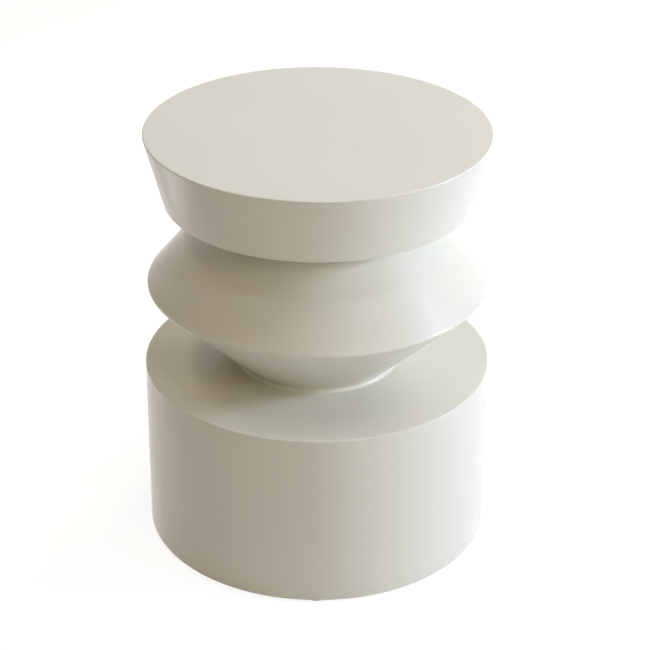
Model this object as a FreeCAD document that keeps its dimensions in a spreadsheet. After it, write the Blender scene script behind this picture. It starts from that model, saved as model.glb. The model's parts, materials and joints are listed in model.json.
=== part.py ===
import FreeCAD, Part
import math
import os
import Sketcher
from FreeCAD import Vector

# Drum side table in lacquered MDF: a cylindrical drum, a waist of two cones that meet at a sharp
# rim, and a thick round top that tapers inwards to its underside.
#
# Each of the three is a glued stack of rings and panels, turned true on a lathe. Panels close the
# drum and the top. The two cones are rings with stepped bores between two thick neck plates. Dowels
# centre the waist on the drum and the top on the waist, and one tie rod on the axis clamps all three
# together: a nut below the drum's top panel pulls against a tee nut inside the table top. The foot
# is closed by a panel screwed into a rebate, and stands on nylon glides.
#
# Millimetres, +Z up. The origin is on the floor, in the middle of the foot.

BASE_RINGS = 7
CONE_RINGS = 3
GLIDES = 4
DOWELS = 3
PANEL_SCREWS = 6

SIZES = {
    # drum
    "base_radius": 184.5,
    "base_wall": 40,
    "base_ring_thickness": 25,
    "base_top_thickness": 18,
    # panel that closes the foot, and its rebate
    "foot_panel_thickness": 9,
    "foot_panel_recess": 1,
    "foot_panel_gap": 0.5,
    "foot_rebate_width": 12,
    # waist
    "rim_radius": 179.5,
    "rim_round": 2.5,
    "lower_cone_angle": 43,
    "upper_cone_angle": 50.5,
    "cone_wall": 40,
    "cone_ring_thickness": 22,
    "neck_plate_thickness": 28,
    "cove_radius": 3.5,
    "cove_lip": 0.5,
    # table top
    "top_radius": 179.5,
    "top_under_radius": 160,
    "top_wall": 40,
    "top_under_thickness": 18,
    "top_core_thickness": 30,
    "top_panel_thickness": 25,
    # eased outer edges
    "edge_chamfer": 1.5,
    "foot_chamfer": 1,
    # tie rod and what it clamps with
    "rod_radius": 5,
    "rod_hole_gap": 0.5,
    "rod_thread_gap": 0.1,
    "rod_end": 5,
    "nut_flats": 17,
    "nut_height": 8,
    "washer_radius": 30,
    "washer_thickness": 4,
    "tee_flange_radius": 15,
    "tee_flange_thickness": 2,
    "tee_barrel_radius": 6.5,
    "tee_barrel_length": 10,
    "tee_barrel_gap": 0.1,
    # dowels
    "dowel_radius": 5,
    "dowel_embed": 12,
    "dowel_inset": 30,
    "dowel_gap": 0.1,
    "dowel_end_gap": 0.5,
    # countersunk screws of the foot panel and the glides
    "screw_radius": 1.75,
    "screw_head_radius": 3.5,
    "screw_gap": 0.1,
    "panel_screw_length": 16,
    "glide_screw_length": 15,
    "glide_screw_recess": 0.8,
    # glides
    "glide_radius": 11,
    "glide_height": 3,
}

# Levels above the floor, from the foot to the table top

FOOT = "Sizes.glide_height"
BASE_PANEL = f"({FOOT} + {BASE_RINGS} * Sizes.base_ring_thickness)"
BASE_TOP = f"({BASE_PANEL} + Sizes.base_top_thickness)"
LOWER_CONE = f"({BASE_TOP} + Sizes.neck_plate_thickness)"
CONE_STACK = f"({CONE_RINGS} * Sizes.cone_ring_thickness)"
RIM = f"({LOWER_CONE} + {CONE_STACK})"
UPPER_PLATE = f"({RIM} + {CONE_STACK})"
UNDERSIDE = f"({UPPER_PLATE} + Sizes.neck_plate_thickness)"
TOP_CORE = f"({UNDERSIDE} + Sizes.top_under_thickness)"
TOP_PANEL = f"({TOP_CORE} + Sizes.top_core_thickness)"

# Radii and depths that several pieces share

BASE_BORE = "(Sizes.base_radius - Sizes.base_wall)"
REBATE_RADIUS = f"({BASE_BORE} + Sizes.foot_rebate_width)"
REBATE_DEPTH = "(Sizes.foot_panel_thickness + Sizes.foot_panel_recess)"
PANEL_SCREW_CIRCLE = f"({BASE_BORE} + Sizes.foot_rebate_width / 2)"
GLIDE_CIRCLE = f"(({REBATE_RADIUS} + Sizes.base_radius) / 2)"
ROD_HOLE = "(Sizes.rod_radius + Sizes.rod_hole_gap)"
THREAD_BORE = "(Sizes.rod_radius + Sizes.rod_thread_gap)"
TEE_HOLE = "(Sizes.tee_barrel_radius + Sizes.tee_barrel_gap)"
NECK_FROM_RIM = f"({CONE_STACK} + Sizes.neck_plate_thickness)"
TOP_HEIGHT = "(Sizes.top_under_thickness + Sizes.top_core_thickness + Sizes.top_panel_thickness)"
NUT = f"({BASE_PANEL} - Sizes.washer_thickness - Sizes.nut_height)"
SCREW_HEAD = "(Sizes.screw_head_radius - Sizes.screw_radius)"


def cone_angle(side):
    return f"Sizes.{side}_cone_angle * 1deg"


def cone_radius(side, from_rim):
    """Outer radius of the lower or upper cone at a distance from the rim's level.

    The round of the rim is centred on that level, so the cone's own line starts further out.
    """
    line_start = f"Sizes.rim_radius - Sizes.rim_round + Sizes.rim_round / sin({cone_angle(side)})"
    return f"({line_start} - {from_rim} / tan({cone_angle(side)}))"


def top_radius(height):
    """Outer radius of the table top at a height above its underside."""
    spread = "(Sizes.top_radius - Sizes.top_under_radius)"
    return f"(Sizes.top_under_radius + {spread} * {height} / {TOP_HEIGHT})"


def dowel_circle(side):
    """Radius of the dowels' circle, set in from the neck of the cone."""
    return f"({cone_radius(side, NECK_FROM_RIM)} - Sizes.dowel_inset)"


doc = FreeCAD.newDocument("drum_side_table")
sheet = doc.addObject("Spreadsheet::Sheet", "Sizes")
for row, (alias, size) in enumerate(SIZES.items(), start=1):
    sheet.set(f"A{row}", alias)
    sheet.set(f"B{row}", str(size))
    sheet.setAlias(f"B{row}", alias)
doc.recompute()

parts = []


def value(expression):
    """The number that an expression gives with the sheet's sizes."""
    return float(sheet.evalExpression(expression))


def new_body(label, level):
    """An empty body whose own zero height lies at the given level."""
    body = doc.addObject("PartDesign::Body", label)
    body.Label = label
    body.AllowCompound = True
    body.setExpression("Placement.Base.z", level)
    parts.append(body)
    return body


def origin_feature(body, role):
    """A plane or an axis of the body's own origin."""
    return next(item for item in body.Origin.OriginFeatures if item.Role == role)


def arc(start, end, radius, turn):
    """The arc between two points with its centre on the left of start to end (turn 1) or the right."""
    chord = end - start
    rise = math.sqrt(radius**2 - (chord.Length / 2) ** 2)
    centre = (start + end) / 2 + Vector(-chord.y, chord.x, 0) * (turn * rise / chord.Length)
    first, last = (start, end) if turn > 0 else (end, start)
    angles = [math.atan2(point.y - centre.y, point.x - centre.x) for point in (first, last)]
    if angles[1] < angles[0]:
        angles[1] += 2 * math.pi
    return Part.ArcOfCircle(Part.Circle(centre, Vector(0, 0, 1), radius), *angles)


def bind(sketch, name, expression, kind, *elements):
    """A dimension of the sketch that follows an expression in the sheet's sizes."""
    dimension = Sketcher.Constraint(kind, *elements, value(expression))
    sketch.renameConstraint(sketch.addConstraint(dimension), name)
    sketch.setExpression(f"Constraints.{name}", expression)


def half_section(body, corners, rounds, circle):
    """A closed half section, upright through the axis that it is turned about.

    corners are (radius, height) in order, and rounds gives, by a corner's place in them, the radius
    and turn of an arc from there to the next corner. The axis is the table's own, or stands on a
    circle round it.
    """
    sketch = body.newObject("Sketcher::SketchObject", "half_section")
    sketch.AttachmentSupport = (origin_feature(body, "XZ_Plane"), [""])
    sketch.MapMode = "FlatFace"
    if circle:
        sketch.setExpression("AttachmentOffset.Base.x", circle)
    points = [Vector(value(radius), value(height), 0) for radius, height in corners]
    ends = []
    for place, start in enumerate(points):
        end = points[(place + 1) % len(points)]
        if place in rounds:
            radius, turn = rounds[place]
            sketch.addGeometry(arc(start, end, value(radius), turn))
            bind(sketch, f"round_{place}", radius, "Radius", place)
            ends.append((1, 2) if turn > 0 else (2, 1))
        else:
            sketch.addGeometry(Part.LineSegment(start, end))
            ends.append((1, 2))
    for place, (radius, height) in enumerate(corners):
        before = (place - 1) % len(corners)
        here = (place, ends[place][0])
        sketch.addConstraint(Sketcher.Constraint("Coincident", before, ends[before][1], *here))
        for direction, other_axis, distance in (("X", -2, radius), ("Y", -1, height)):
            if distance == "0":
                sketch.addConstraint(Sketcher.Constraint("PointOnObject", *here, other_axis))
            else:
                bind(sketch, f"corner_{place}_{direction}", distance, f"Distance{direction}", -1, 1, *here)
    return sketch


def turn(body, corners, rounds={}, circle=None, count=1, cut=False):
    """Turns a half section into solid, or out of it, and repeats it evenly round the table's axis."""
    before = body.Shape.Volume if cut else 0
    sketch = half_section(body, corners, rounds, circle)
    feature = body.newObject("PartDesign::Groove" if cut else "PartDesign::Revolution", "turned")
    feature.Profile = sketch
    feature.ReferenceAxis = (sketch, ["V_Axis"])
    feature.Angle = 360
    if count > 1:
        pattern = body.newObject("PartDesign::PolarPattern", "round_the_axis")
        pattern.Originals = [feature]
        pattern.Axis = (origin_feature(body, "Z_Axis"), [""])
        pattern.Angle = 360
        pattern.Occurrences = count
        body.Tip = pattern
    doc.recompute()
    if cut and not body.Shape.Volume < before:
        raise RuntimeError(f"{body.Label}: a cut takes nothing away")


def ease_edge(body, radius, height, size):
    """Takes the sharpness off the outer edge of that radius and height."""
    tip = body.Tip
    edges = [
        f"Edge{place}"
        for place, edge in enumerate(tip.Shape.Edges, start=1)
        if isinstance(edge.Curve, Part.Circle)
        and abs(edge.Curve.Radius - value(radius)) < 1e-4
        and abs(edge.Curve.Center.z - value(height)) < 1e-4
    ]
    chamfer = body.newObject("PartDesign::Chamfer", "eased_edge")
    chamfer.Base = (tip, edges)
    chamfer.setExpression("Size", size)
    doc.recompute()


def turn_disc(body, bore, low_radius, high_radius, thickness):
    """A ring or panel whose side may taper, with a straight bore, or whole where the bore is 0."""
    turn(body, [(bore, "0"), (low_radius, "0"), (high_radius, thickness), (bore, thickness)])


def dowel_holes(body, circle, face, into):
    """Blind holes for the dowels, from a face upwards (into 1) or downwards (into -1)."""
    radius = "(Sizes.dowel_radius + Sizes.dowel_gap)"
    bottom = f"({face} + {into} * (Sizes.dowel_embed + Sizes.dowel_end_gap))"
    low, high = (face, bottom) if into > 0 else (bottom, face)
    turn(body, [("0", low), (radius, low), (radius, high), ("0", high)], {}, circle, DOWELS, cut=True)


def screw_hole(body, circle, count, face, length):
    """Countersunk clearance holes for screws whose heads lie at a face and point upwards."""
    shank = "(Sizes.screw_radius + Sizes.screw_gap)"
    head = "(Sizes.screw_head_radius + Sizes.screw_gap)"
    cone_end = f"({face} + {SCREW_HEAD})"
    end = f"({face} + {length} + Sizes.screw_gap)"
    corners = [("0", face), (head, face), (shank, cone_end), (shank, end), ("0", end)]
    turn(body, corners, {}, circle, count, cut=True)


def screws(label, circle, count, level, length):
    """A circle of countersunk screws that point upwards."""
    body = new_body(label, level)
    corners = [
        ("0", "0"),
        ("Sizes.screw_head_radius", "0"),
        ("Sizes.screw_radius", SCREW_HEAD),
        ("Sizes.screw_radius", length),
        ("0", length),
    ]
    turn(body, corners, {}, circle, count)


def dowels(label, circle, level):
    """A circle of dowels, half of each below the joint and half above."""
    body = new_body(label, f"({level} - Sizes.dowel_embed)")
    length = "(2 * Sizes.dowel_embed)"
    corners = [("0", "0"), ("Sizes.dowel_radius", "0"), ("Sizes.dowel_radius", length), ("0", length)]
    turn(body, corners, {}, circle, DOWELS)


# Drum: the lowest ring has the rebate of the foot panel and the holes of its screws and the glides'

for number in range(1, BASE_RINGS + 1):
    ring = new_body(f"base_ring_{number}", f"({FOOT} + {number - 1} * Sizes.base_ring_thickness)")
    if number > 1:
        turn_disc(ring, BASE_BORE, "Sizes.base_radius", "Sizes.base_radius", "Sizes.base_ring_thickness")
        continue
    turn(
        ring,
        [
            (REBATE_RADIUS, "0"),
            ("Sizes.base_radius", "0"),
            ("Sizes.base_radius", "Sizes.base_ring_thickness"),
            (BASE_BORE, "Sizes.base_ring_thickness"),
            (BASE_BORE, REBATE_DEPTH),
            (REBATE_RADIUS, REBATE_DEPTH),
        ],
    )
    ease_edge(ring, "Sizes.base_radius", "0", "Sizes.foot_chamfer")
    screw_hole(ring, PANEL_SCREW_CIRCLE, PANEL_SCREWS, "Sizes.foot_panel_recess", "Sizes.panel_screw_length")
    glide_head = "(Sizes.glide_screw_recess - Sizes.glide_height)"
    screw_hole(ring, GLIDE_CIRCLE, GLIDES, glide_head, "Sizes.glide_screw_length")

base_top = new_body("base_top_panel", BASE_PANEL)
turn_disc(base_top, ROD_HOLE, "Sizes.base_radius", "Sizes.base_radius", "Sizes.base_top_thickness")
ease_edge(base_top, "Sizes.base_radius", "Sizes.base_top_thickness", "Sizes.edge_chamfer")
dowel_holes(base_top, dowel_circle("lower"), "Sizes.base_top_thickness", -1)

foot_panel = new_body("foot_panel", f"({FOOT} + Sizes.foot_panel_recess)")
foot_panel_radius = f"({REBATE_RADIUS} - Sizes.foot_panel_gap)"
turn_disc(foot_panel, "0", foot_panel_radius, foot_panel_radius, "Sizes.foot_panel_thickness")
screw_hole(foot_panel, PANEL_SCREW_CIRCLE, PANEL_SCREWS, "0", "Sizes.panel_screw_length")

# Waist: on the drum a cove, tangent to the shoulder and the cone, fills the foot of the lower cone

lower_neck = cone_radius("lower", NECK_FROM_RIM)
cove_centre = f"({lower_neck} + Sizes.cove_radius / tan(Sizes.lower_cone_angle * 0.5deg))"
lip_reach = "sqrt(Sizes.cove_radius ^ 2 - (Sizes.cove_radius - Sizes.cove_lip) ^ 2)"
lip_radius = f"({cove_centre} - {lip_reach})"
cove_end = f"(Sizes.cove_radius * (1 + cos({cone_angle('lower')})))"
cove_end_radius = cone_radius("lower", f"({NECK_FROM_RIM} - {cove_end})")
lower_plate = new_body("lower_neck_plate", BASE_TOP)
turn(
    lower_plate,
    [
        (ROD_HOLE, "0"),
        (lip_radius, "0"),
        (lip_radius, "Sizes.cove_lip"),
        (cove_end_radius, cove_end),
        (cone_radius("lower", CONE_STACK), "Sizes.neck_plate_thickness"),
        (ROD_HOLE, "Sizes.neck_plate_thickness"),
    ],
    {2: ("Sizes.cove_radius", -1)},
)
dowel_holes(lower_plate, dowel_circle("lower"), "0", 1)

upper_plate = new_body("upper_neck_plate", UPPER_PLATE)
upper_neck = cone_radius("upper", NECK_FROM_RIM)
turn_disc(upper_plate, ROD_HOLE, cone_radius("upper", CONE_STACK), upper_neck, "Sizes.neck_plate_thickness")
dowel_holes(upper_plate, dowel_circle("upper"), "Sizes.neck_plate_thickness", -1)

for number in range(1, CONE_RINGS + 1):
    # the lower rings are counted up to the rim, and the upper ones up from it
    ring = new_body(f"lower_cone_ring_{number}", f"({LOWER_CONE} + {number - 1} * Sizes.cone_ring_thickness)")
    low_radius = cone_radius("lower", f"({CONE_RINGS - number + 1} * Sizes.cone_ring_thickness)")
    high_radius = cone_radius("lower", f"({CONE_RINGS - number} * Sizes.cone_ring_thickness)")
    bore = f"({low_radius} - Sizes.cone_wall)"
    if number < CONE_RINGS:
        turn_disc(ring, bore, low_radius, high_radius, "Sizes.cone_ring_thickness")
    else:
        round_start = (
            f"(Sizes.rim_radius - Sizes.rim_round * (1 - sin({cone_angle('lower')})))",
            f"(Sizes.cone_ring_thickness - Sizes.rim_round * cos({cone_angle('lower')}))",
        )
        turn(
            ring,
            [
                (bore, "0"),
                (low_radius, "0"),
                round_start,
                ("Sizes.rim_radius", "Sizes.cone_ring_thickness"),
                (bore, "Sizes.cone_ring_thickness"),
            ],
            {2: ("Sizes.rim_round", 1)},
        )

for number in range(1, CONE_RINGS + 1):
    ring = new_body(f"upper_cone_ring_{number}", f"({RIM} + {number - 1} * Sizes.cone_ring_thickness)")
    low_radius = cone_radius("upper", f"({number - 1} * Sizes.cone_ring_thickness)")
    high_radius = cone_radius("upper", f"({number} * Sizes.cone_ring_thickness)")
    bore = f"({high_radius} - Sizes.cone_wall)"
    if number > 1:
        turn_disc(ring, bore, low_radius, high_radius, "Sizes.cone_ring_thickness")
    else:
        round_end = (
            f"(Sizes.rim_radius - Sizes.rim_round * (1 - sin({cone_angle('upper')})))",
            f"(Sizes.rim_round * cos({cone_angle('upper')}))",
        )
        turn(
            ring,
            [
                (bore, "0"),
                ("Sizes.rim_radius", "0"),
                round_end,
                (high_radius, "Sizes.cone_ring_thickness"),
                (bore, "Sizes.cone_ring_thickness"),
            ],
            {1: ("Sizes.rim_round", 1)},
        )

# Table top: the side tapers through all three layers

under_top = top_radius("Sizes.top_under_thickness")
core_top = top_radius("(Sizes.top_under_thickness + Sizes.top_core_thickness)")

under_panel = new_body("top_under_panel", UNDERSIDE)
tee_hole_start = "(Sizes.top_under_thickness - Sizes.tee_barrel_length - Sizes.tee_barrel_gap)"
turn(
    under_panel,
    [
        (ROD_HOLE, "0"),
        ("Sizes.top_under_radius", "0"),
        (under_top, "Sizes.top_under_thickness"),
        (TEE_HOLE, "Sizes.top_under_thickness"),
        (TEE_HOLE, tee_hole_start),
        (ROD_HOLE, tee_hole_start),
    ],
)
ease_edge(under_panel, "Sizes.top_under_radius", "0", "Sizes.edge_chamfer")
dowel_holes(under_panel, dowel_circle("upper"), "0", 1)

core_ring = new_body("top_core_ring", TOP_CORE)
turn_disc(core_ring, f"({under_top} - Sizes.top_wall)", under_top, core_top, "Sizes.top_core_thickness")

top_panel = new_body("top_panel", TOP_PANEL)
turn_disc(top_panel, "0", core_top, "Sizes.top_radius", "Sizes.top_panel_thickness")
ease_edge(top_panel, "Sizes.top_radius", "Sizes.top_panel_thickness", "Sizes.edge_chamfer")

# Dowels at the two joints

dowels("lower_neck_dowels", dowel_circle("lower"), BASE_TOP)
dowels("upper_neck_dowels", dowel_circle("upper"), UNDERSIDE)

# Tie rod, nut and washer under the drum's top panel, and tee nut on the top's under panel

tie_rod = new_body("tie_rod", f"({NUT} - Sizes.rod_end)")
rod_length = f"({TOP_CORE} + Sizes.tee_flange_thickness - {NUT} + 2 * Sizes.rod_end)"
turn_disc(tie_rod, "0", "Sizes.rod_radius", "Sizes.rod_radius", rod_length)

washer = new_body("tie_rod_washer", f"({BASE_PANEL} - Sizes.washer_thickness)")
turn_disc(washer, ROD_HOLE, "Sizes.washer_radius", "Sizes.washer_radius", "Sizes.washer_thickness")

tee_nut = new_body("tee_nut", f"({TOP_CORE} - Sizes.tee_barrel_length)")
tee_nut_height = "(Sizes.tee_barrel_length + Sizes.tee_flange_thickness)"
turn(
    tee_nut,
    [
        (THREAD_BORE, "0"),
        ("Sizes.tee_barrel_radius", "0"),
        ("Sizes.tee_barrel_radius", "Sizes.tee_barrel_length"),
        ("Sizes.tee_flange_radius", "Sizes.tee_barrel_length"),
        ("Sizes.tee_flange_radius", tee_nut_height),
        (THREAD_BORE, tee_nut_height),
    ],
)

hexagon = doc.addObject("Part::Prism", "nut_hexagon")
hexagon.Polygon = 6
hexagon.setExpression("Circumradius", "Sizes.nut_flats / 2 / cos(30deg)")
hexagon.setExpression("Height", "Sizes.nut_height")
thread = doc.addObject("Part::Cylinder", "nut_thread")
thread.setExpression("Radius", THREAD_BORE)
thread.setExpression("Height", "Sizes.nut_height")
nut = doc.addObject("Part::Cut", "tie_rod_nut")
nut.Label = "tie_rod_nut"
nut.Base = hexagon
nut.Tool = thread
nut.setExpression("Placement.Base.z", NUT)
parts.append(nut)

# Screws of the foot panel, the glides and their screws

screws("foot_panel_screws", PANEL_SCREW_CIRCLE, PANEL_SCREWS,
       f"({FOOT} + Sizes.foot_panel_recess)", "Sizes.panel_screw_length")
screws("glide_screws", GLIDE_CIRCLE, GLIDES, "Sizes.glide_screw_recess", "Sizes.glide_screw_length")

glides = new_body("floor_glides", "0")
head_hole = "(Sizes.screw_head_radius + Sizes.screw_gap)"
shank_hole = "(Sizes.screw_radius + Sizes.screw_gap)"
turn(
    glides,
    [
        (head_hole, "0"),
        ("Sizes.glide_radius", "0"),
        ("Sizes.glide_radius", "Sizes.glide_height"),
        (shank_hole, "Sizes.glide_height"),
        (shank_hole, f"(Sizes.glide_screw_recess + {SCREW_HEAD})"),
        (head_hole, "Sizes.glide_screw_recess"),
    ],
    {},
    GLIDE_CIRCLE,
    GLIDES,
)

# Every object has to be sound before anything is written

doc.recompute()
for item in doc.Objects:
    if "Invalid" in item.State or "Error" in item.State:
        raise RuntimeError(f"{item.Label}: {item.State}")
os.makedirs("parts", exist_ok=True)
for piece in parts:
    if piece.Shape.isNull() or not piece.Shape.isValid() or not piece.Shape.Solids:
        raise RuntimeError(f"{piece.Label}: not a sound solid")
for piece in parts:
    piece.Shape.exportStep(f"parts/{piece.Label}.step")
    box = piece.Shape.BoundBox
    print(f"{piece.Label:20} solids {len(piece.Shape.Solids)}  z {box.ZMin:8.2f} to {box.ZMax:8.2f}"
          f"  widest {box.XLength:7.2f}")
print(f"{len(parts)} pieces written")
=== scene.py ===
import json
import math

import bpy
import numpy as np
from mathutils import Matrix, Vector


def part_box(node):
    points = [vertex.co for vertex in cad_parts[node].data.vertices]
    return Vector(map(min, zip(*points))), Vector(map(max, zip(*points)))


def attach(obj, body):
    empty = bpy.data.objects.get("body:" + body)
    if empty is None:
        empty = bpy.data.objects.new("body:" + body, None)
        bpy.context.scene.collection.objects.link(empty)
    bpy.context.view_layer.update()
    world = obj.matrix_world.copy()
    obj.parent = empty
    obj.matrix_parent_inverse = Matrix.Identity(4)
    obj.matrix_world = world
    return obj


# %% [markdown]
# # A lacquered drum side table
#
# The table is three turned solids on one axis: a drum, a waist of two cones that meet at a sharp rim,
# and a thick top that tapers inwards. The frame that is loaded first holds its joinery, ring by ring.
# On the real table none of that is seen, because filler and several coats of sprayed lacquer run over
# every glue line. So this lesson adds the lacquer as its own thin, seamless skin, and spends its care
# on what a lacquered surface lives from: round edges of the right size, a coat with a soft gloss, and
# light that has a shape.

# %% Load the frame and keep its box
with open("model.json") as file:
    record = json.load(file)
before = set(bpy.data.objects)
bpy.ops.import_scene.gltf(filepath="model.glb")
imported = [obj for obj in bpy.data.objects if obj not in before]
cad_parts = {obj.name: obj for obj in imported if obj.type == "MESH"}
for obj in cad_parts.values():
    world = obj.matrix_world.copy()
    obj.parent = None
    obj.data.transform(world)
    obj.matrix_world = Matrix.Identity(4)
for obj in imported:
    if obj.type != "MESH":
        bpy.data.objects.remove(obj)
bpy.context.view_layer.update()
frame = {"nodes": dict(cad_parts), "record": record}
BODY = "root"
MM = 0.001
print("pieces in the frame:", len(frame["nodes"]))

# %% [markdown]
# ## Reading the outline off the frame
#
# A skin has to follow the wood under it. Its levels and radii are read from the boxes of the frame's
# pieces, so they are written down nowhere twice. A box knows the largest radius of a ring. Two rings
# of one cone therefore give two points on its side, and the line through them gives the rest: the
# neck below, and the place where the two cones would meet if the rim were sharp.


# %% Reading a level or a radius off a box
def lowest(node):
    """Level of a piece's underside."""
    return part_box(node)[0][2]


def highest(node):
    """Level of a piece's upper side."""
    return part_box(node)[1][2]


def widest(node):
    """Largest radius of a round piece on the axis, which it reaches towards +X."""
    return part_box(node)[1][0]


def radius_on_line(first, second, level):
    """Radius at a level on the straight side through two points, each a (radius, level) pair.

    It is the first point's radius plus the slope, radius over level, times the rise from that point.
    """
    slope = (second[0] - first[0]) / (second[1] - first[1])
    return first[0] + slope * (level - first[1])


print("the table top is", round(highest("top_panel") / MM, 1), "mm above the floor")

# %% Levels and radii of the turned pieces
FOOT_CLEARANCE = 0.5 * MM
FOOT = lowest("base_ring_1")
SHOULDER = highest("base_top_panel")
RIM = highest("lower_cone_ring_3")
UNDERSIDE = lowest("top_under_panel")
TABLE_TOP = highest("top_panel")

DRUM_RADIUS = widest("base_ring_2")
RIM_RADIUS = widest("lower_cone_ring_3")
FOOT_OPENING = widest("foot_panel") + FOOT_CLEARANCE

lower_side = [(widest(ring), highest(ring)) for ring in ("lower_cone_ring_1", "lower_cone_ring_2")]
upper_side = [(widest(ring), lowest(ring)) for ring in ("upper_cone_ring_2", "upper_cone_ring_3")]
top_side = [(widest(ring), highest(ring)) for ring in ("top_under_panel", "top_core_ring")]
print("levels in mm:", [round(level / MM, 1) for level in (FOOT, SHOULDER, RIM, UNDERSIDE, TABLE_TOP)])
print("radii in mm:", [round(radius / MM, 1) for radius in (DRUM_RADIUS, RIM_RADIUS, FOOT_OPENING)])

# %% Corners of the outline, before they are rounded
lower_neck = radius_on_line(*lower_side, SHOULDER)
upper_neck = radius_on_line(*upper_side, UNDERSIDE)
lower_run = radius_on_line(*lower_side, RIM)
upper_run = radius_on_line(*upper_side, RIM)
lower_slope = (lower_run - lower_neck) / (RIM - SHOULDER)
upper_slope = (upper_neck - upper_run) / (UNDERSIDE - RIM)
# The sides of the two cones meet where their radii are equal. That is off the rim's level by the
# difference of their radii at that level, over the difference of their slopes.
rim_corner_level = RIM + (upper_run - lower_run) / (lower_slope - upper_slope)
rim_corner = radius_on_line(*lower_side, rim_corner_level)
top_radius = radius_on_line(*top_side, TABLE_TOP)
top_under_radius = radius_on_line(*top_side, UNDERSIDE)
print("necks in mm:", round(lower_neck / MM, 1), round(upper_neck / MM, 1))
print("rim corner in mm:", round(rim_corner / MM, 2), "at", round(rim_corner_level / MM, 2))

# %% [markdown]
# ## The skin as a turned outline
#
# A lathe suggests the method: draw half of the outline once, and turn it. The outline is a list of
# corners, each with the radius of its round. Every corner is first moved out by the thickness of the
# coat, and then its round is laid in as an arc. A round on a convex edge grows by that thickness and
# the hollow cove shrinks by it, just as thick paint does. Bevel could round the edges too, but here
# an arc that is drawn on purpose keeps its exact radius where a long slope meets a flat.


# %% Move an outline out by the thickness of a coat
def offset_corners(corners, distance):
    """Moves an open outline to the right of its direction by a distance.

    Each inner corner goes along the bisector of its two edges' normals, by the distance over the
    cosine of half the turn, so that both edges stay parallel to themselves.
    """
    edges = np.diff(corners, axis=0)
    normals = np.stack([edges[:, 1], -edges[:, 0]], axis=1)
    normals /= np.linalg.norm(normals, axis=1, keepdims=True)
    bisectors = np.vstack([normals[:1], normals]) + np.vstack([normals, normals[-1:]])
    bisectors *= 2 / (bisectors**2).sum(axis=1, keepdims=True)
    return corners + distance * bisectors


square_corner = np.array([(0.0, 0.0), (1.0, 0.0), (1.0, 1.0)])
print("the corner at 1, 0, moved out by 0.1:", offset_corners(square_corner, 0.1)[1].tolist())


# %% Round a corner with an arc
def corner_arc(before, corner, after, radius, steps):
    """The arc of a given radius that is tangent to both edges of a corner.

    It starts radius times tan(turn / 2) before the corner, where turn is the change of direction, and
    its points are the starting spoke turned evenly about the centre.
    """
    inwards = (corner - before) / np.linalg.norm(corner - before)
    outwards = (after - corner) / np.linalg.norm(after - corner)
    turn = math.atan2(inwards[0] * outwards[1] - inwards[1] * outwards[0], inwards @ outwards)
    spoke = np.array([inwards[1], -inwards[0]]) * math.copysign(radius, turn)
    centre = corner - inwards * radius * math.tan(abs(turn) / 2) - spoke
    angles = np.linspace(0, turn, steps + 1)[:, None]
    across = np.array([-spoke[1], spoke[0]])
    return centre + spoke * np.cos(angles) + across * np.sin(angles)


def is_cove(before, corner, after):
    """True where the outline turns right, away from the wood on its left."""
    inwards, outwards = corner - before, after - corner
    return inwards[0] * outwards[1] - inwards[1] * outwards[0] < 0


print("a round of 0.5 on the same corner:", corner_arc(*square_corner, 0.5, 4).round(2).tolist())


# %% The whole outline, and the points that support its shading
def rounded_outline(corners, rounds, distance, steps=12):
    """The outline at a distance from the wood, with an arc at each corner that has a round."""
    points = offset_corners(np.array(corners), distance)
    outline = [points[:1]]
    for before, corner, after, radius in zip(points, points[1:], points[2:], rounds):
        grown = radius - distance if is_cove(before, corner, after) else radius + distance
        outline.append(corner_arc(before, corner, after, grown, steps))
    outline.append(points[-1:])
    return np.vstack(outline)


def with_support(outline, longest=12 * MM, margin=0.6 * MM):
    """Adds points to each run of over four margins: one close to each end, and even ones between.

    The close ones keep the smooth shading of a round from leaking over the flat beside it.
    """
    dense = []
    for start, end in zip(outline[:-1], outline[1:]):
        length = np.linalg.norm(end - start)
        shares = [0.0]
        if length > 4 * margin:
            inner = max(1, math.ceil(length / longest))
            shares += np.linspace(margin / length, 1 - margin / length, inner + 1).tolist()
        dense.append(start + np.array(shares)[:, None] * (end - start))
    dense.append(outline[-1:])
    return np.vstack(dense)


straight_run = 100 * MM * np.array([(0, 0), (1, 0)])
print("points on a straight run of 100 mm:", len(with_support(straight_run)))

# %% [markdown]
# ## From the outline to a mesh
#
# The outline of a skin is a closed loop: out along the face of the coat, and back along its inner side.
# Turned about the axis, it encloses the coat with no open end. The Screw modifier could turn it too,
# but its seam and the middle of the top would have to be merged afterwards. Here the rings are worked
# out as whole arrays, and the faces join each ring to the next one and the last to the first.

# %% Turn an outline into a closed mesh
TURNS = 288
ON_AXIS = 1e-6 * MM


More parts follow.
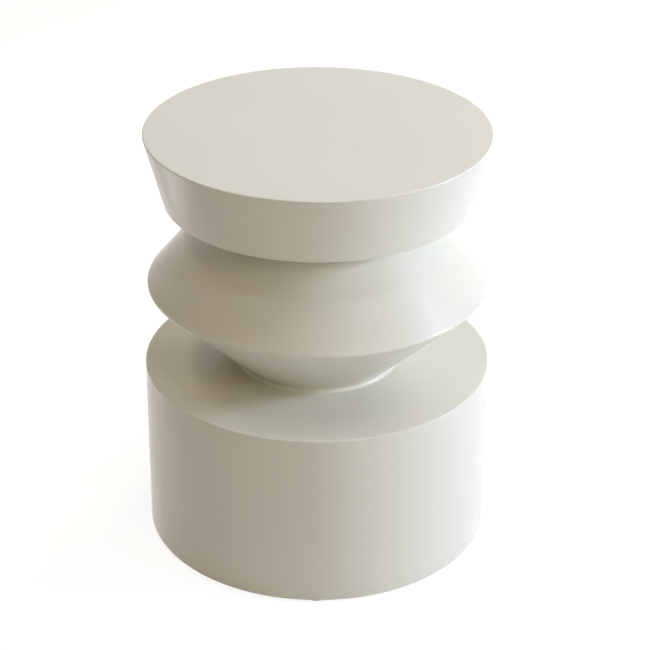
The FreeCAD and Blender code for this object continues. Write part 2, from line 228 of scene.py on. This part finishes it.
def turned_piece(name, outline):
    """A closed surface of revolution: (r cos a, r sin a, z) over a closed loop of (r, z) and angle a.

    A point on the axis is a single vertex, so the surface closes there in a fan of triangles.
    """
    angle = np.linspace(0, 2 * math.pi, TURNS, endpoint=False)
    pole = outline[:, 0] < ON_AXIS
    size = np.where(pole, 1, TURNS)
    first = np.cumsum(size) - size
    circle = np.stack([np.cos(angle), np.sin(angle), np.zeros(TURNS)], axis=1)
    rings = [
        radius * circle[: 1 if on_axis else TURNS] + [0, 0, level]
        for (radius, level), on_axis in zip(outline, pole)
    ]
    here = np.arange(TURNS)
    after = (here + 1) % TURNS
    faces = []
    for low in range(len(outline)):
        high = (low + 1) % len(outline)
        if pole[low] and pole[high]:
            continue
        sides = [first[low] + here, first[low] + after, first[high] + after, first[high] + here]
        if pole[low]:
            sides = [np.full(TURNS, first[low])] + sides[2:]
        if pole[high]:
            sides = sides[:2] + [np.full(TURNS, first[high])]
        faces += np.stack(sides, axis=1).tolist()
    mesh = bpy.data.meshes.new(name)
    mesh.from_pydata(np.vstack(rings), [], faces)
    mesh.shade_smooth()
    piece = bpy.data.objects.new(name, mesh)
    bpy.context.collection.objects.link(piece)
    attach(piece, BODY)
    print(f"{name}: {len(mesh.vertices)} vertices, {len(mesh.polygons)} faces")
    return piece


# %% A skin is such a mesh with two outlines
COAT = 0.3 * MM
COAT_WALL = 0.2 * MM


def skin(name, corners, rounds):
    """A thin closed shell over the corners: an outer outline, and an inner one on the way back."""
    outer = with_support(rounded_outline(corners, rounds, COAT))
    inner = rounded_outline(corners, rounds, COAT - COAT_WALL)[::-1]
    return turned_piece(name, np.vstack([outer, inner]))


print("the lacquer stands proud of the wood by", round(COAT / MM, 2), "mm")

# %% [markdown]
# ## Two skins, with one joint
#
# Drum and waist are glued and filled before they are sprayed, so one coat runs from the foot over the
# shoulder, through the cove and round the rim. The top is sprayed by itself and clamped on later. The
# only joint between the two is the dark line right under the top, which nobody sees from above.

# %% The lacquer of drum and waist, and the lacquer of the top
EDGE_ROUND = 0.9 * MM
FOOT_ROUND = 1.2 * MM
RIM_ROUND = 2.5 * MM
COVE_ROUND = 3.5 * MM
JOINT_GAP = 0.6 * MM

neck_end = radius_on_line(*upper_side, UNDERSIDE - JOINT_GAP)
drum_and_waist = skin(
    "lacquer_drum_and_waist",
    [
        (FOOT_OPENING, FOOT),
        (DRUM_RADIUS, FOOT),
        (DRUM_RADIUS, SHOULDER),
        (lower_neck, SHOULDER),
        (rim_corner, rim_corner_level),
        (neck_end, UNDERSIDE - JOINT_GAP),
    ],
    [FOOT_ROUND, EDGE_ROUND, COVE_ROUND, RIM_ROUND],
)
top = skin(
    "lacquer_top",
    [
        (upper_neck + JOINT_GAP, UNDERSIDE),
        (top_under_radius, UNDERSIDE),
        (top_radius, TABLE_TOP),
        (0, TABLE_TOP),
    ],
    [EDGE_ROUND, EDGE_ROUND],
)

# %% [markdown]
# ## Materials from noise on object coordinates
#
# Every finish is built the same way: a Principled shader, and noises in metres that vary its colour,
# its roughness and the height of its surface. Object coordinates stay put when the table turns, and
# every piece sits at the origin, so one pattern runs on over all of them.


# %% A material, and a noise for it
def new_material(name):
    """A material with its Principled shader, and the object coordinates that its patterns read."""
    material = bpy.data.materials.new(name)
    material.use_nodes = True
    tree = material.node_tree
    coordinates = tree.nodes.new("ShaderNodeTexCoord").outputs["Object"]
    return material, tree, tree.nodes["Principled BSDF"], coordinates


def noise(tree, coordinates, size, detail=3.0, stretch=(1, 1, 1)):
    """Noise whose features are about size metres across, stretched along an axis where asked."""
    mapping = tree.nodes.new("ShaderNodeMapping")
    mapping.inputs["Scale"].default_value = [1 / share for share in stretch]
    texture = tree.nodes.new("ShaderNodeTexNoise")
    texture.inputs["Scale"].default_value = 1 / size
    texture.inputs["Detail"].default_value = detail
    tree.links.new(coordinates, mapping.inputs["Vector"])
    tree.links.new(mapping.outputs["Vector"], texture.inputs["Vector"])
    return texture.outputs["Fac"]


# %% What a noise can vary: a number, a colour or the height of the surface
MIDDLE_HALF = (0.25, 0.75)


def between(tree, factor, low, high):
    """A number that runs from low to high with the middle half of a noise."""
    spread = tree.nodes.new("ShaderNodeMapRange")
    spread.inputs["From Min"].default_value = MIDDLE_HALF[0]
    spread.inputs["From Max"].default_value = MIDDLE_HALF[1]
    spread.inputs["To Min"].default_value = low
    spread.inputs["To Max"].default_value = high
    spread.clamp = False
    tree.links.new(factor, spread.inputs["Value"])
    return spread.outputs["Result"]


def blended(tree, factor, first, second):
    """A colour between two, by a factor."""
    mix = tree.nodes.new("ShaderNodeMix")
    mix.data_type = "RGBA"
    mix.inputs["A"].default_value = (*first, 1)
    mix.inputs["B"].default_value = (*second, 1)
    tree.links.new(factor, mix.inputs["Factor"])
    return mix.outputs["Result"]


def bumped(tree, height, depth, base=None):
    """A normal raised by a height pattern of a given depth in metres, over another normal or none."""
    bump = tree.nodes.new("ShaderNodeBump")
    bump.inputs["Strength"].default_value = 1
    bump.inputs["Distance"].default_value = depth
    tree.links.new(height, bump.inputs["Height"])
    if base:
        tree.links.new(base, bump.inputs["Normal"])
    return bump.outputs["Normal"]


# %% [markdown]
# ## The lacquer
#
# Sprayed lacquer is never a mirror. It dries with an orange peel, low swellings of about a millimetre
# or two, and it follows the faint waves that sanding leaves. Its tone drifts a little from one hand's
# breadth to the next, and its gloss varies where the pad has rubbed more. All of this is far below
# what one would call a texture, and yet without it the surface reads as plastic.

# %% Lacquer
LACQUER_LIGHT = (0.750, 0.729, 0.655)
LACQUER_DEEP = (0.690, 0.671, 0.595)
LACQUER_ROUGHNESS = (0.22, 0.26)
LACQUER_IOR = 1.5
WAVE_DEPTH = 0.03 * MM
PEEL_DEPTH = 0.004 * MM


def lacquer_material():
    """Satin lacquer: two close tones, soft gloss that varies, orange peel over faint waves."""
    material, tree, shader, coordinates = new_material("satin_lacquer")
    tone = noise(tree, coordinates, 160 * MM, detail=2)
    rubbing = noise(tree, coordinates, 50 * MM, detail=4)
    waves = bumped(tree, noise(tree, coordinates, 30 * MM, detail=1), WAVE_DEPTH)
    peel = bumped(tree, noise(tree, coordinates, 1.6 * MM, detail=2), PEEL_DEPTH, waves)
    tree.links.new(blended(tree, tone, LACQUER_LIGHT, LACQUER_DEEP), shader.inputs["Base Color"])
    tree.links.new(between(tree, rubbing, *LACQUER_ROUGHNESS), shader.inputs["Roughness"])
    tree.links.new(peel, shader.inputs["Normal"])
    shader.inputs["IOR"].default_value = LACQUER_IOR
    return material


lacquer = lacquer_material()
for piece in (drum_and_waist, top):
    piece.data.materials.append(lacquer)
print("lacquered:", drum_and_waist.name, "and", top.name)

# %% [markdown]
# ## The raw materials under it
#
# MDF is a felt of wood dust: its faces are fine and even, with darker flecks. Beech has short rays
# along its grain. Zinc plate is a bright, slightly cloudy metal, and natural nylon is milky and dull.
# Only the foot shows them, when the table lies on its side, but a model is looked at from below too.
# The pieces whose slot says lacquer are the bare MDF under the two skins.

# %% MDF
MDF_DARK = (0.40, 0.28, 0.17)
MDF_LIGHT = (0.53, 0.39, 0.25)
MDF_ROUGHNESS = 0.75
MDF_NAP = 0.05 * MM


def mdf_material():
    """Sealed MDF: a warm brown with fine flecks and a slight nap."""
    material, tree, shader, coordinates = new_material("raw_mdf")
    flecks = between(tree, noise(tree, coordinates, 1.2 * MM, detail=6), 0, 1)
    nap = bumped(tree, noise(tree, coordinates, 0.5 * MM, detail=2), MDF_NAP)
    colour = blended(tree, flecks, MDF_DARK, MDF_LIGHT)
    tree.links.new(colour, shader.inputs["Base Color"])
    tree.links.new(nap, shader.inputs["Normal"])
    shader.inputs["Roughness"].default_value = MDF_ROUGHNESS
    return material


# %% Beech
BEECH_DARK = (0.56, 0.37, 0.22)
BEECH_LIGHT = (0.68, 0.50, 0.33)
BEECH_ROUGHNESS = 0.6
ALONG_THE_DOWEL = (1, 1, 12)


def beech_material():
    """Turned beech rod: pale, with grain that runs along the dowel."""
    material, tree, shader, coordinates = new_material("beech")
    streaks = noise(tree, coordinates, 1.5 * MM, detail=5, stretch=ALONG_THE_DOWEL)
    grain = between(tree, streaks, 0, 1)
    colour = blended(tree, grain, BEECH_DARK, BEECH_LIGHT)
    tree.links.new(colour, shader.inputs["Base Color"])
    shader.inputs["Roughness"].default_value = BEECH_ROUGHNESS
    return material


# %% Zinc plate
ZINC_DARK = (0.56, 0.57, 0.60)
ZINC_LIGHT = (0.66, 0.66, 0.68)
ZINC_ROUGHNESS = (0.28, 0.42)


def zinc_material():
    """Bright zinc plate: a metal whose gloss is clouded in patches."""
    material, tree, shader, coordinates = new_material("zinc_plate")
    clouds = noise(tree, coordinates, 6 * MM, detail=4)
    colour = blended(tree, clouds, ZINC_DARK, ZINC_LIGHT)
    tree.links.new(colour, shader.inputs["Base Color"])
    tree.links.new(between(tree, clouds, *ZINC_ROUGHNESS), shader.inputs["Roughness"])
    shader.inputs["Metallic"].default_value = 1
    return material


# %% Nylon
NYLON_DARK = (0.74, 0.73, 0.69)
NYLON_LIGHT = (0.82, 0.81, 0.78)
NYLON_ROUGHNESS = (0.42, 0.6)
NYLON_MILKINESS = 0.15
NYLON_DEPTH = 2 * MM


def nylon_material():
    """Natural nylon: milky white, moulded slightly rough, with light that goes in a little way."""
    material, tree, shader, coordinates = new_material("natural_nylon")
    scuffs = noise(tree, coordinates, 3 * MM, detail=4)
    colour = blended(tree, scuffs, NYLON_DARK, NYLON_LIGHT)
    tree.links.new(colour, shader.inputs["Base Color"])
    tree.links.new(between(tree, scuffs, *NYLON_ROUGHNESS), shader.inputs["Roughness"])
    shader.inputs["Subsurface Weight"].default_value = NYLON_MILKINESS
    shader.inputs["Subsurface Radius"].default_value = [NYLON_DEPTH] * 3
    return material


# %% Give each piece of the frame its material
MDF = mdf_material()
MATERIALS = {
    "lacquer": MDF,
    "mdf": MDF,
    "beech": beech_material(),
    "zinc_steel": zinc_material(),
    "nylon": nylon_material(),
}
for part in frame["record"]["subparts"]:
    materials = frame["nodes"][part["node"]].data.materials
    for place in range(len(materials)):
        materials[place] = MATERIALS[part["material_slot"]]

# %% [markdown]
# ## A floor that is white and still holds a shadow
#
# The table stands on a plain white floor in a plain white space. Light Path makes the white: what the
# eye can see, directly, in a gloss or through glass, glows evenly, and all other rays meet a plain pale
# floor and a dim space, so that the white throws no extra light on the table. The floor keeps part of
# its own lit surface, and with it a light shadow under the table.


# %% White for the eye alone
def seen_by_eye(tree):
    """One for camera, glossy and transmission rays, and zero for all others."""
    path = tree.nodes.new("ShaderNodeLightPath")
    seen = path.outputs["Is Camera Ray"]
    for ray in ("Is Glossy Ray", "Is Transmission Ray"):
        either = tree.nodes.new("ShaderNodeMath")
        either.operation = "MAXIMUM"
        tree.links.new(seen, either.inputs[0])
        tree.links.new(path.outputs[ray], either.inputs[1])
        seen = either.outputs["Value"]
    return seen


def stronger_when_seen(tree, hidden, shown):
    """A strength that is one number for the eye, and another for all other rays."""
    strength = tree.nodes.new("ShaderNodeMapRange")
    strength.inputs["To Min"].default_value = hidden
    strength.inputs["To Max"].default_value = shown
    tree.links.new(seen_by_eye(tree), strength.inputs["Value"])
    return strength.outputs["Result"]


# %% Floor
FLOOR_ALBEDO = 0.25
FLOOR_BOUNCE = 0.8
FLOOR_GLOW = 0.86
FLOOR_REACH = 6.0


def floor_material():
    """Matt paper that glows for the eye."""
    material, tree, shader, _ = new_material("white_floor")
    tree.links.new(stronger_when_seen(tree, FLOOR_BOUNCE, FLOOR_ALBEDO), shader.inputs["Base Color"])
    shader.inputs["Roughness"].default_value = 1
    shader.inputs["Specular IOR Level"].default_value = 0
    shader.inputs["Emission Color"].default_value = (1, 1, 1, 1)
    tree.links.new(stronger_when_seen(tree, 0, FLOOR_GLOW), shader.inputs["Emission Strength"])
    return material


floor_mesh = bpy.data.meshes.new("floor")
floor_corners = FLOOR_REACH * np.array([(-1, -1, 0), (1, -1, 0), (1, 1, 0), (-1, 1, 0)])
floor_mesh.from_pydata(floor_corners, [], [(0, 1, 2, 3)])
floor = bpy.data.objects.new("floor", floor_mesh)
bpy.context.collection.objects.link(floor)
floor_mesh.materials.append(floor_material())
print("the floor reaches", FLOOR_REACH, "m to each side")

# %% [markdown]
# ## Light
#
# Light that comes low from one side shapes a round body, and light from above draws the edge of each
# piece on the flat below it. So a small window stands low on the right, with wider and weaker light
# to both sides of it and a fill at the front. Small lamps hang high around the table, as under a
# ceiling. They are far away for their size, so the rim throws a round shadow with a clear edge on the
# drum. They differ in tint, and what is left in all the shadows is dim, warm light from the room.
# A panel stands on the floor at the left. It hardly lights the table, but the side of the top mirrors
# it at a flat angle, and shows by that streak that it is lacquered. Each lamp is given by its direction
# from the table, its distance, its size, its strength and its colour.

# %% Lamps
TABLE_MIDDLE = Vector((0, 0, 0.25))
AMBIENT = (0.15, 0.10, 0.045)
LAMPS = {
    # name: (azimuth and elevation in degrees, distance, width, height, watts, colour)
    "window": ((-6, 20), 2.2, 0.35, 0.35, 31.2, (0.66, 0.80, 1.0)),
    "window_wide": ((-25, 22), 2.2, 1.2, 0.5, 6.8, (0.64, 0.70, 1.0)),
    "window_behind": ((25, 34), 2.2, 0.8, 0.5, 6.6, (0.69, 0.75, 1.0)),
    "overhead": ((280, 86), 2.0, 0.3, 0.25, 6.7, (0.76, 0.87, 1.0)),
    "strip_left": ((183, 62), 3.0, 2.6, 0.25, 8.4, (1.0, 0.90, 0.70)),
    "spot_left": ((189, 63), 4.0, 0.25, 0.25, 3.7, (1.0, 0.97, 0.84)),
    "spot_right": ((0, 72), 4.0, 0.25, 0.25, 2.9, (1.0, 0.72, 0.40)),
    "spot_front_right": ((-27, 67), 4.0, 0.25, 0.25, 7.4, (1.0, 0.84, 0.82)),
    "spot_front": ((270, 70), 4.0, 0.25, 0.25, 8.0, (0.64, 0.75, 1.0)),
    "front": ((300, 30), 2.2, 0.8, 0.6, 8.1, (1.0, 0.94, 0.63)),
    "behind": ((60, 25), 2.2, 0.8, 0.6, 15.0, (0.97, 1.0, 0.77)),
    "panel_left": ((165, -16), 0.66, 0.35, 0.3, 0.38, (1.0, 0.97, 1.0)),
}


def add_lamp(name, direction, distance, width, height, watts, colour):
    """A rectangular lamp that faces the middle of the table, and that the camera doesn't see.

    It stands at its distance from there, turned by its azimuth from +X towards +Y, and raised by its
    elevation. Where the elevation is negative, it stands lower than the middle.
    """
    azimuth, elevation = np.radians(direction)
    flat = math.cos(elevation)
    towards = Vector((flat * math.cos(azimuth), flat * math.sin(azimuth), math.sin(elevation)))
    light = bpy.data.lights.new(name, "AREA")
    light.shape = "RECTANGLE"
    light.size, light.size_y = width, height
    light.energy = watts
    light.color = colour
    lamp = bpy.data.objects.new(name, light)
    bpy.context.collection.objects.link(lamp)
    lamp.visible_camera = False
    lamp.location = TABLE_MIDDLE + distance * towards
    lamp.rotation_euler = towards.to_track_quat("Z", "Y").to_euler()


for name, settings in LAMPS.items():
    add_lamp(name, *settings)
print("lamps:", ", ".join(LAMPS))


# %% Surroundings
def surroundings():
    """White to the eye, and a dim warm light from all round for everything else."""
    world = bpy.data.worlds.new("surroundings")
    world.use_nodes = True
    tree = world.node_tree
    colour = blended(tree, seen_by_eye(tree), AMBIENT, (1, 1, 1))
    tree.links.new(colour, tree.nodes["Background"].inputs["Color"])
    return world


scene = bpy.context.scene
scene.world = surroundings()
scene.view_settings.view_transform = "Standard"
print("view transform:", scene.view_settings.view_transform)

# %% [markdown]
# ## Camera
#
# The view is that of someone who stands about two metres away and looks down at the table. A long lens
# keeps the round outlines calm. The small yaw and roll are those of a hand-set tripod.

# %% Camera
CAMERA_DISTANCE = 1.9300
CAMERA_HEIGHT = 1.2505
CAMERA_PITCH = 0.48594
CAMERA_YAW = -0.00420
CAMERA_ROLL = 0.00582
LENS_MM = 112.61
SENSOR_MM = 36

camera = bpy.data.objects.new("camera", bpy.data.cameras.new("camera"))
bpy.context.collection.objects.link(camera)
camera.data.lens = LENS_MM
camera.data.sensor_width = SENSOR_MM
# From the last turn to the first: roll about the line of sight, tilt down from level, yaw, and move.
camera.matrix_world = (
    Matrix.Translation((0, -CAMERA_DISTANCE, CAMERA_HEIGHT))
    @ Matrix.Rotation(CAMERA_YAW, 4, "Z")
    @ Matrix.Rotation(math.pi / 2 - CAMERA_PITCH, 4, "X")
    @ Matrix.Rotation(CAMERA_ROLL, 4, "Z")
)
scene.camera = camera
print("the camera looks down by", round(math.degrees(CAMERA_PITCH), 1), "degrees")
